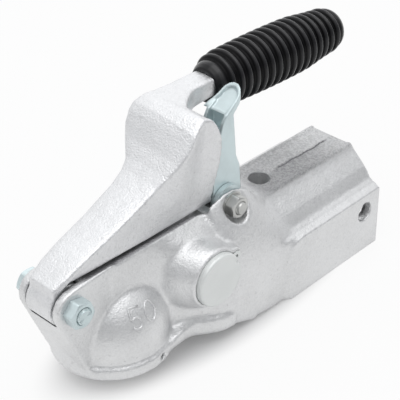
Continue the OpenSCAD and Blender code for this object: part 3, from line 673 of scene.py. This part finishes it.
def finishes():
    """Every finish by name, as its maker and what that is given."""
    look = bpy.context.scene.coupling_colours
    cast, lever, plate = look.cast_tone[:], look.lever_tone[:], look.plating_tone[:]
    pin, dull, steel = look.pin_tone[:], look.bolt_tone[:], look.steel_tone[:]
    # A darker copy of the rubber's colour for painted shade in the grooves, two lighter ones for painted
    # highlights on the crests
    black = tuple(shaded(look.rubber_tone, k) for k in (0.6, 1.6, 2.6))
    rings = bpy.context.scene.coupling_sizes.rings
    return {
        "cast_body": (galvanised, (shaded(cast, 0.84), cast), (0.32, 0.48), 0.0002, look.tail_tone[:]),
        "cast_lever": (galvanised, (shaded(lever, 0.86), lever), (0.34, 0.5), 0.0003),
        "blue_zinc": (plated, (shaded(plate, 0.9), plate), 0.55, (0.3, 0.42)),
        "pin_zinc": (plated, (shaded(pin, 0.95), pin), 0.35, (0.36, 0.5), 400.0),
        "dull_zinc": (plated, (shaded(dull, 0.7), dull), 0.85, (0.22, 0.4)),
        "bare_steel": (plated, (shaded(steel, 0.66), steel), 0.9, (0.35, 0.5)),
        "grip_rubber": (rubber, black, (0.24, 0.38), rings),
    }


def material(key):
    """A finish by name, built on first use."""
    if "cast_grain" not in bpy.data.node_groups:
        cast_grain_group()
        plating_group()
    if key not in bpy.data.materials:
        maker, *given = finishes()[key]
        maker(key, *given)
    return bpy.data.materials[key]


def dress(*nodes, finish):
    """Gives CAD nodes whose shape is right a finish."""
    for name in nodes:
        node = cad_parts[name]
        node.data.materials.clear()
        node.data.materials.append(material(finish))


# Sizes and colours that a user would change

class CouplingSizes(bpy.types.PropertyGroup):
    """Fineness of the castings and details of the dressed pieces."""
    body_voxel: FloatProperty(
        name="Body fineness", description="Edge length of the body casting's mesh",
        default=0.00119, min=0.0008, max=0.003, unit="LENGTH")
    lever_voxel: FloatProperty(
        name="Lever fineness", description="Edge length of the lever casting's mesh",
        default=0.0009, min=0.0006, max=0.002, unit="LENGTH")
    latch_voxel: FloatProperty(
        name="Latch fineness", description="Edge length of the latch's mesh",
        default=0.0005, min=0.0003, max=0.001, unit="LENGTH")
    pin_voxel: FloatProperty(
        name="Pin fineness", description="Edge length of the cross pin's mesh",
        default=0.0009, min=0.0006, max=0.002, unit="LENGTH")
    easing: IntProperty(
        name="Edge softness", description="Passes that round the castings' edges", default=3, min=1, max=20)
    valley_easing: IntProperty(
        name="Valley softness", description="Passes that blend the valleys beside the bosses",
        default=45, min=1, max=90)
    rings: IntProperty(name="Grip rings", description="Rings along the grip", default=16, min=10, max=20)


class CouplingColours(bpy.types.PropertyGroup):
    """Colours of the finishes."""
    cast_tone: FloatVectorProperty(
        name="Body", description="Galvanised body casting",
        subtype="COLOR", size=3, default=(0.77, 0.775, 0.78), min=0, max=1)
    lever_tone: FloatVectorProperty(
        name="Lever", description="Galvanised lever casting",
        subtype="COLOR", size=3, default=(0.79, 0.795, 0.805), min=0, max=1)
    # Also the colour of the painted shade in the drawbar's pocket and on the rail under the lever
    tail_tone: FloatVectorProperty(
        name="Tail top", description="Coarse dark skin of the tail's top",
        subtype="COLOR", size=3, default=(0.2, 0.2, 0.21), min=0, max=1)
    plating_tone: FloatVectorProperty(
        name="Blue zinc", description="Zinc plating of the latch, collars and front bolt",
        subtype="COLOR", size=3, default=(0.66, 0.76, 0.775), min=0, max=1)
    pin_tone: FloatVectorProperty(
        name="Pins", description="Plating of the cross pin and its spring pins",
        subtype="COLOR", size=3, default=(0.79, 0.81, 0.8), min=0, max=1)
    bolt_tone: FloatVectorProperty(
        name="Latch bolt", description="Dull plating of the latch bolt, its nut and washer",
        subtype="COLOR", size=3, default=(0.58, 0.585, 0.57), min=0, max=1)
    steel_tone: FloatVectorProperty(
        name="Bare steel", description="Oiled steel of the inner pieces",
        subtype="COLOR", size=3, default=(0.3, 0.31, 0.32), min=0, max=1)
    rubber_tone: FloatVectorProperty(
        name="Grip", description="Black rubber of the grip",
        subtype="COLOR", size=3, default=(0.003, 0.003, 0.004), min=0, max=1)


# Stage

# The photograph's camera: lens and sensor width in millimetres, its place in metres and its axes
CAMERA_LENS, CAMERA_SENSOR = 117.0, 36.0
CAMERA_AT = (-0.3934, -0.45893, 0.49066)
CAMERA_RIGHT = (0.69276, -0.72108, -0.011575)
CAMERA_UP = (0.40992, 0.38052, 0.82896)
CAMERA_AHEAD = (0.59334, 0.57901, -0.55919)
# Lamps: name, place, width and height in metres, power in watts
LAMPS = (("top_softbox", (0.05, -0.1, 1.35), 1.3, 1.1, 5.0),
         ("rear_softbox", (1.0, 1.0, 0.95), 1.3, 0.9, 1.2),
         ("left_softbox", (-1.3, 0.5, 0.5), 0.6, 0.6, 0.6))
LAMPS_AIM = (0.06, 0, 0.03)
SKY_GREY, SKY_PALE, SKY_STRENGTH = (0.36, 0.365, 0.375), (0.95, 0.955, 0.965), 1.08
FLOOR_HALF, FLOOR_DROP, FLOOR_GREY = 40.0, 0.0002, 0.72
# How far the floor's shadow reaches past the object, in metres
SHADOW_SPREAD = 0.012


def photo_camera(scene):
    """The camera at the photograph's viewing angle."""
    data = bpy.data.cameras.new("photo_camera")
    data.sensor_width = CAMERA_SENSOR
    data.lens = CAMERA_LENS
    data.clip_start = 0.01
    camera = bpy.data.objects.new("photo_camera", data)
    scene.collection.objects.link(camera)
    turn = Matrix((Vector(CAMERA_RIGHT), Vector(CAMERA_UP), -Vector(CAMERA_AHEAD))).transposed()
    camera.matrix_world = Matrix.Translation(CAMERA_AT) @ turn.to_4x4()
    scene.camera = camera


def aimed_light(scene, name, place_at, width, height, power):
    """A soft rectangular lamp that looks at the object's middle."""
    data = bpy.data.lights.new(name, "AREA")
    data.shape = "RECTANGLE"
    data.size, data.size_y = width, height
    data.energy = power
    lamp = bpy.data.objects.new(name, data)
    scene.collection.objects.link(lamp)
    lamp.location = place_at
    lamp.rotation_euler = (Vector(LAMPS_AIM) - Vector(place_at)).to_track_quat("-Z", "Y").to_euler()


def white_to_camera(tree, shader, output, white):
    """Shows a plain white to camera, glossy and transmission rays, and the shader to all others."""
    path = add(tree, "ShaderNodeLightPath")
    seen = math_node(tree, "MAXIMUM", path.outputs["Is Glossy Ray"], path.outputs["Is Transmission Ray"])
    seen = math_node(tree, "MAXIMUM", path.outputs["Is Camera Ray"], seen)
    choose = add(tree, "ShaderNodeMixShader")
    tree.links.new(seen, choose.inputs[0])
    tree.links.new(shader, choose.inputs[1])
    tree.links.new(white, choose.inputs[2])
    tree.links.new(choose.outputs[0], output)


def away_from_footprint(tree):
    """A mask that is low under the object, where its shadow lies, and nearly 1 away from it."""
    _, where = places(tree)
    low, high = cad_box
    reach = []
    for axis in (0, 1):
        centre, half = (low[axis] + high[axis]) / 2, (high[axis] - low[axis]) / 2
        off = math_node(tree, "SUBTRACT", where[axis], centre)
        off = math_node(tree, "DIVIDE", off, half + SHADOW_SPREAD)
        reach.append(times(tree, off, off))
    far = step_mask(tree, plus(tree, *reach), 0.4, 0.95)
    return plus(tree, times(tree, far, 0.75), 0.15)


def white_floor(scene):
    """A pale floor that keeps the object's shadow and turns white away from it."""
    mesh = bpy.data.meshes.new("floor")
    corners = [(x * FLOOR_HALF, y * FLOOR_HALF, 0) for x, y in ((-1, -1), (1, -1), (1, 1), (-1, 1))]
    mesh.from_pydata(corners, [], [(0, 1, 2, 3)])
    floor = bpy.data.objects.new("floor", mesh)
    scene.collection.objects.link(floor)
    floor.location = (0, 0, cad_box[0][2] - FLOOR_DROP)
    paint, tree, shader = new_material("floor_white", (FLOOR_GREY,) * 3, 0.0, 0.9, 0.1)
    glow = add(tree, "ShaderNodeEmission", {"Color": (1, 1, 1, 1), "Strength": 1.0})
    blend = add(tree, "ShaderNodeMixShader")
    tree.links.new(away_from_footprint(tree), blend.inputs[0])
    tree.links.new(shader.outputs[0], blend.inputs[1])
    tree.links.new(glow.outputs[0], blend.inputs[2])
    output = tree.nodes["Material Output"].inputs["Surface"]
    white_to_camera(tree, shader.outputs[0], output, blend.outputs[0])
    mesh.materials.append(paint)


def studio_sky(scene):
    """A soft studio room: pale above and behind the object, greyer towards the near side."""
    world = bpy.data.worlds.new("studio")
    world.use_nodes = True
    scene.world = world
    sky = world.node_tree
    _, (x, y, z) = places(sky, "Generated")
    above = step_mask(sky, z, 0.3, 0.8)
    behind = step_mask(sky, plus(sky, x, y), 0.0, 1.1)
    far_side = times(sky, step_mask(sky, z, 0.15, 0.5), step_mask(sky, y, 0.1, 0.5))
    pale = math_node(sky, "MAXIMUM", above, math_node(sky, "MAXIMUM", behind, far_side))
    back = sky.nodes["Background"].inputs
    sky.links.new(mixed(sky, pale, SKY_GREY, SKY_PALE), back["Color"])
    back["Strength"].default_value = SKY_STRENGTH


# Operators: one for the stage, one for each piece or group of like pieces

class COUPLING_OT_stage(bpy.types.Operator):
    """Camera at the photograph's angle, white floor, soft room and lamps."""
    bl_idname = "coupling.stage"
    bl_label = "Studio"

    def execute(self, context):
        scene = context.scene
        photo_camera(scene)
        white_floor(scene)
        studio_sky(scene)
        for lamp in LAMPS:
            aimed_light(scene, *lamp)
        scene.view_settings.view_transform = "Standard"
        return {"FINISHED"}


class COUPLING_OT_body(bpy.types.Operator):
    """The cast body, with eased edges and a rough parting ridge on its tail."""
    bl_idname = "coupling.body"
    bl_label = "Body casting"

    def execute(self, context):
        sizes = context.scene.coupling_sizes
        made = remeshed("body_casting", "body_cast", sizes.body_voxel, (sizes.valley_easing, body_valleys),
                        (16, panel_corners), (sizes.easing, body_edges))
        raise_parting_ridge(made.data)
        adopt(made, "head", material("cast_body"), ("body_casting",))
        return {"FINISHED"}


# Regions of the castings where edges ease more or less: low corner, high corner and reach in millimetres
PIN_FACES = ((45, -45, 18), (55, 45, 28), 26)
SIDE_HOLE = ((181, -46, -6), (197, 46, 10), 4)
TOP_HOLE = ((124, -7, 30), (138, 7, 40), 3)
BOSS_SHOULDER = ((4, -60, 4), (66, 60, 40), 9)
BOSS_FOOT = ((30, -60, -9), (66, 60, 40), 5)
EAR_CREASE = ((104, -60, 22), (116, 60, 44), 8)
PANEL_FRONT = ((100, -60, 10), (116, 60, 27), 6)
TAB_WING = ((83, 3, 103), (93, 12, 114), 2)


def body_edges(points):
    """How far the body's edges may ease: less at the bosses' faces and the drawbar bolt holes."""
    faces = near_box(points, *PIN_FACES) * (np.abs(points[:, 1]) > 37.5) * 0.6
    holes = np.maximum(near_box(points, *SIDE_HOLE) * 0.7, near_box(points, *TOP_HOLE) * 0.5)
    return 1 - np.maximum(faces, holes)


def body_valleys(points):
    """1 in the cast valleys round the side bosses and behind the latch ears, where the skins run together."""
    reach = np.abs(points[:, 1])
    flank = np.maximum(near_box(points, *BOSS_SHOULDER), near_box(points, *BOSS_FOOT))
    flank = flank * np.clip((reach - 13) / 3, 0, 1) * np.clip((37 - reach) / 2, 0, 1)
    crease = near_box(points, *EAR_CREASE) * np.clip((36 - reach) / 3, 0, 1)
    crease = crease * np.clip((reach - 14) / 4, 0, 1)
    return np.maximum(flank, crease)


def panel_corners(points):
    """1 at the front corners of the side panels, which run out softly into the skin."""
    return near_box(points, *PANEL_FRONT) * (np.abs(points[:, 1]) > 34)


def raise_parting_ridge(mesh):
    """A jagged flash line along the middle of the tail's top."""
    x, y, z = (points_of(mesh) / MM).T
    wander = sum(size * np.sin(x * pace + start) for size, pace, start in RIDGE_WAVES) - RIDGE_OFFSET
    jag = 0.55 + 0.25 * np.sin(x * 1.9) + 0.2 * np.sin(x * 3.7 + 2.0)
    runout = np.clip((x - RIDGE_START) / 8, 0, 1) * np.clip((RIDGE_END - x) / 6, 0, 1)
    lift = RIDGE_HEIGHT * jag * np.exp(-((y - wander) / RIDGE_WIDTH) ** 2) * runout
    top = (z > 36.8) & (x > RIDGE_START) & (x < RIDGE_END)
    set_points(mesh, np.stack([x, y, np.where(top, z + lift, z)], 1) * MM)


# The raised ball size on the dome, in millimetres and degrees: strokes in a plane that is wrapped on the dome
DOME_RADIUS = 34.6
NUMBER_AZIMUTH, NUMBER_HEIGHT, NUMBER_TILT = -91.3, 36.2, -12.0
FIVE_AT, ZERO_AT = (-5.2, -0.8), (6.3, -1.3)
STROKE_RADIUS = 0.75


def number_strokes():
    """The strokes of a five and a nought, each about 13 mm high, round their own middles."""
    sweep = np.radians(np.linspace(128, -140, 22))
    bowl = [(0.3 + 3.4 * math.cos(a), -3.2 + 3.5 * math.sin(a)) for a in sweep]
    five = [(3.6, 6.5), (0.3, 6.6), (-3.2, 6.5), (-3.3, 3.8), (-3.2, 1.0), (-2.9, -1.2)]
    nought = [(3.9 * math.cos(a), 6.3 * math.sin(a)) for a in np.linspace(0, TAU, 40)]
    return ((FIVE_AT, five), (FIVE_AT, [five[-1]] + bowl), (ZERO_AT, nought))


def on_dome(points, middle_at):
    """Wraps plane points on the dome round the number's place."""
    tilt = math.radians(NUMBER_TILT)
    turn = Matrix.Rotation(math.radians(NUMBER_AZIMUTH), 3, "Z")
    turn = turn @ Matrix.Rotation(-math.radians(NUMBER_HEIGHT), 3, "Y")
    path = []
    for u, v in points:
        across = middle_at[0] + u * math.cos(tilt) - v * math.sin(tilt)
        rise = middle_at[1] + u * math.sin(tilt) + v * math.cos(tilt)
        path.append(turn @ Vector((1, across / DOME_RADIUS, rise / DOME_RADIUS)).normalized() * DOME_RADIUS)
    return path


class COUPLING_OT_size_number(bpy.types.Operator):
    """The raised ball size on the near side of the dome."""
    bl_idname = "coupling.size_number"
    bl_label = "Ball size on the dome"

    def execute(self, context):
        paths = [np.array(on_dome(points, at)) * MM for at, points in number_strokes()]
        verts, faces = join(*(tube(path, STROKE_RADIUS * MM, 8) for path in paths))
        piece("size_number", verts, faces, "head", material("cast_body"))
        return {"FINISHED"}


class COUPLING_OT_lever(bpy.types.Operator):
    """The cast hand lever with its hood, hump and neck, and the steel pieces in it."""
    bl_idname = "coupling.lever"
    bl_label = "Lever casting"

    def execute(self, context):
        sizes = context.scene.coupling_sizes
        made = remeshed("lever_casting", "lever_cast", sizes.lever_voxel, (sizes.easing, None))
        adopt(made, "lever", material("cast_lever"), ("lever_casting",))
        dress("lever_bush", "lever_wedge", "wedge_screws", finish="bare_steel")
        return {"FINISHED"}


def ring_pitch(rings):
    """Distance between two rings in millimetres."""
    return (GRIP_LENGTH - BAND_LENGTH - END_LENGTH) / rings


def grip_radius(u):
    """Radius over the rings at a share of the grip's length, slimmer towards both ends."""
    swell = math.sin(math.radians(min(20 + u * 150, 150))) ** 0.7
    slim = max(0.0, u - 0.7) * 9 + max(0.0, 0.08 - u) * 16
    return (COLLAR_WIDTH + (GRIP_WIDTH - COLLAR_WIDTH) * swell) / 2 - slim


def grip_profile(rings):
    """Outline of the grip from its bore over the plain band and the rings to its round end."""
    pitch = ring_pitch(rings)
    mouth, band = MOUTH_WIDTH / 2, BAND_WIDTH / 2
    line = [(BORE, 0.05), (mouth - 0.6, 0.05), (mouth, 0.25), (mouth + 0.5, 0.9), (band - 1.5, 2.2),
            (band - 0.5, 3.8), (band, 5.2)]
    for i in range(rings):
        crest = grip_radius((i + 0.5) / rings)
        x = BAND_LENGTH + pitch * i
        root = min(crest - GROOVE, band) if i == 0 else crest - GROOVE
        line += [(root, x), (root - 0.1, x + pitch * 0.14), (root, x + pitch * 0.28)]
        for t in np.linspace(0, 1, 11):
            bulge = math.sin(math.pi * t) ** 0.65
            line.append((crest - GROOVE * (1 - bulge), x + pitch * (0.32 + 0.66 * t)))
    radius, length = grip_radius(1) - 1 - END_ROUND, GRIP_LENGTH - END_ROUND
    for angle in np.linspace(0, math.pi / 2, 9):
        line.append((radius + END_ROUND * math.cos(angle), length + END_ROUND * math.sin(angle)))
    floor = GRIP_LENGTH - END_WALL
    return line + [(0.0, GRIP_LENGTH), (0.0, floor), (BORE, floor), (BORE, 0.05)]


class COUPLING_OT_grip(bpy.types.Operator):
    """The ribbed rubber grip, turned round the lever's spindle."""
    bl_idname = "coupling.grip"
    bl_label = "Ribbed grip"

    def execute(self, context):
        verts, faces = lathe(grip_profile(context.scene.coupling_sizes.rings), 96)
        fall = math.radians(GRIP_FALL)
        lay = Matrix.Translation(Vector(GRIP_FRONT) * MM) @ Matrix.Rotation(math.pi / 2 + fall, 4, "Y")
        finish = material("grip_rubber")
        piece("ribbed_grip", place(verts, lay), faces, "lever", finish, ("rubber_grip",))
        return {"FINISHED"}


class COUPLING_OT_front_pivot(bpy.types.Operator):
    """Front pivot bolt with head, thread and staked end, and its nut."""
    bl_idname = "coupling.front_pivot"
    bl_label = "Front pivot bolt and nut"

    def execute(self, context):
        low, high = box_mm("front_pivot_bolt")
        seat = -box_mm("front_pivot_nut")[1][1]
        lay = along_y(middle("lever_bush").x, middle("lever_bush").z)
        finish = material("blue_zinc")
        verts, faces = bolt(5.0, 1.5, flats_of("front_pivot_nut"), seat, high[1], low[1],
                            washer=0.6, staked=True)
        piece("front_bolt", place(verts, lay), faces, "head", finish, ("front_pivot_bolt",), 35)
        verts, faces = nut("front_pivot_nut", 5.0, 13)
        piece("front_nut", place(verts, lay), faces, "head", finish, ("front_pivot_nut",), 35)
        return {"FINISHED"}


class COUPLING_OT_latch(bpy.types.Operator):
    """The pressed safety latch with its dished thumb tab, and its spring."""
    bl_idname = "coupling.latch"
    bl_label = "Safety latch"

    def execute(self, context):
        sizes = context.scene.coupling_sizes
        made = remeshed("safety_latch", "latch_plate", sizes.latch_voxel, (24, tab_wing), (5, None))
        adopt(made, "latch", material("blue_zinc"), ("safety_latch",))
        low, high = box_mm("latch_spring")
        sleeve = np.array(middle("latch_sleeve"), float) / MM
        across, up, along = helix((high[0] - low[0]) / 2 - 0.95, low[1] + 0.95, high[1] - 0.95, 4, 28)
        path = np.stack([sleeve[0] + across, along, sleeve[2] + up], 1)
        verts, faces = tube(path * MM, 0.9 * MM)
        piece("latch_coil", verts, faces, "head", material("bare_steel"), ("latch_spring",))
        return {"FINISHED"}


def tab_wing(points):
    """1 at the far wing of the thumb tab, where its rim runs out."""
    return near_box(points, *TAB_WING)


# Where the head of the latch bolt sits, on the far ear, in millimetres
LATCH_BOLT_SEAT = 19.5


class COUPLING_OT_latch_pivot(bpy.types.Operator):
    """Latch bolt, nut, washer, sleeve and collars."""
    bl_idname = "coupling.latch_pivot"
    bl_label = "Latch bolt and nut"

    def execute(self, context):
        low, high = box_mm("latch_bolt")
        lay = along_y(middle("latch_sleeve").x, middle("latch_sleeve").z)
        finish = material("dull_zinc")
        verts, faces = bolt(4.0, 1.25, flats_of("latch_nut") - 1, LATCH_BOLT_SEAT, high[1], low[1],
                            washer=0.4, bite=0.2, depth=0.5, around=40)
        piece("latch_bolt_turned", place(verts, lay), faces, "head", finish, ("latch_bolt",), 35)
        verts, faces = nut("latch_nut", 4.0, 24)
        piece("latch_nut_turned", place(verts, lay), faces, "head", finish, ("latch_nut",), 35)
        dress("latch_washer", finish="dull_zinc")
        dress("latch_spacer_near", "latch_spacer_far", finish="blue_zinc")
        dress("latch_sleeve", finish="bare_steel")
        return {"FINISHED"}


class COUPLING_OT_cross_pin(bpy.types.Operator):
    """The large cross pin with turned ends, and its two spring pins."""
    bl_idname = "coupling.cross_pin"
    bl_label = "Cross pin"

    def execute(self, context):
        made = remeshed("cross_pin", "cross_pin_turned", context.scene.coupling_sizes.pin_voxel, (1, None))
        adopt(made, "head", material("pin_zinc"), ("cross_pin",))
        dress("roll_pin_near", "roll_pin_far", finish="pin_zinc")
        return {"FINISHED"}


class COUPLING_OT_keeper(bpy.types.Operator):
    """The hidden ball keeper, its wear pad, spring and spring seat."""
    bl_idname = "coupling.keeper"
    bl_label = "Ball keeper"

    def execute(self, context):
        dress("ball_keeper", "keeper_pad", "spring_seat", finish="bare_steel")
        low, high = box_mm("keeper_spring")
        mid = middle("keeper_spring") / MM
        across, up, along = helix((high[1] - low[1]) / 2 - 0.75, low[0] + 0.8, high[0] - 0.8, 7, 24)
        path = np.stack([along, mid.y + across, mid.z + up], 1)
        verts, faces = tube(path * MM, 0.7 * MM)
        piece("keeper_coil", verts, faces, "head", material("bare_steel"), ("keeper_spring",))
        return {"FINISHED"}


class COUPLING_PT_panel(bpy.types.Panel):
    """Buttons for each piece of the coupling, and its sizes and colours."""
    bl_idname = "COUPLING_PT_panel"
    bl_label = "Coupling head"
    bl_space_type = "VIEW_3D"
    bl_region_type = "UI"
    bl_category = "Coupling"

    def draw(self, context):
        for kind in OPERATORS:
            self.layout.operator(kind.bl_idname)
        for group in (context.scene.coupling_sizes, context.scene.coupling_colours):
            for key in group.__annotations__:
                self.layout.prop(group, key)


OPERATORS = (COUPLING_OT_stage, COUPLING_OT_body, COUPLING_OT_size_number, COUPLING_OT_lever,
             COUPLING_OT_grip, COUPLING_OT_front_pivot, COUPLING_OT_latch, COUPLING_OT_latch_pivot,
             COUPLING_OT_cross_pin, COUPLING_OT_keeper)
CLASSES = (CouplingSizes, CouplingColours, *OPERATORS, COUPLING_PT_panel)


def register():
    for kind in CLASSES:
        bpy.utils.register_class(kind)
    bpy.types.Scene.coupling_sizes = PointerProperty(type=CouplingSizes)
    bpy.types.Scene.coupling_colours = PointerProperty(type=CouplingColours)


def unregister():
    del bpy.types.Scene.coupling_colours
    del bpy.types.Scene.coupling_sizes
    for kind in reversed(CLASSES):
        bpy.utils.unregister_class(kind)


def main():
    """Builds everything in order."""
    register()
    for kind in OPERATORS:
        group, name = kind.bl_idname.split(".")
        getattr(getattr(bpy.ops, group), name)()


if __name__ == "__main__":
    main()
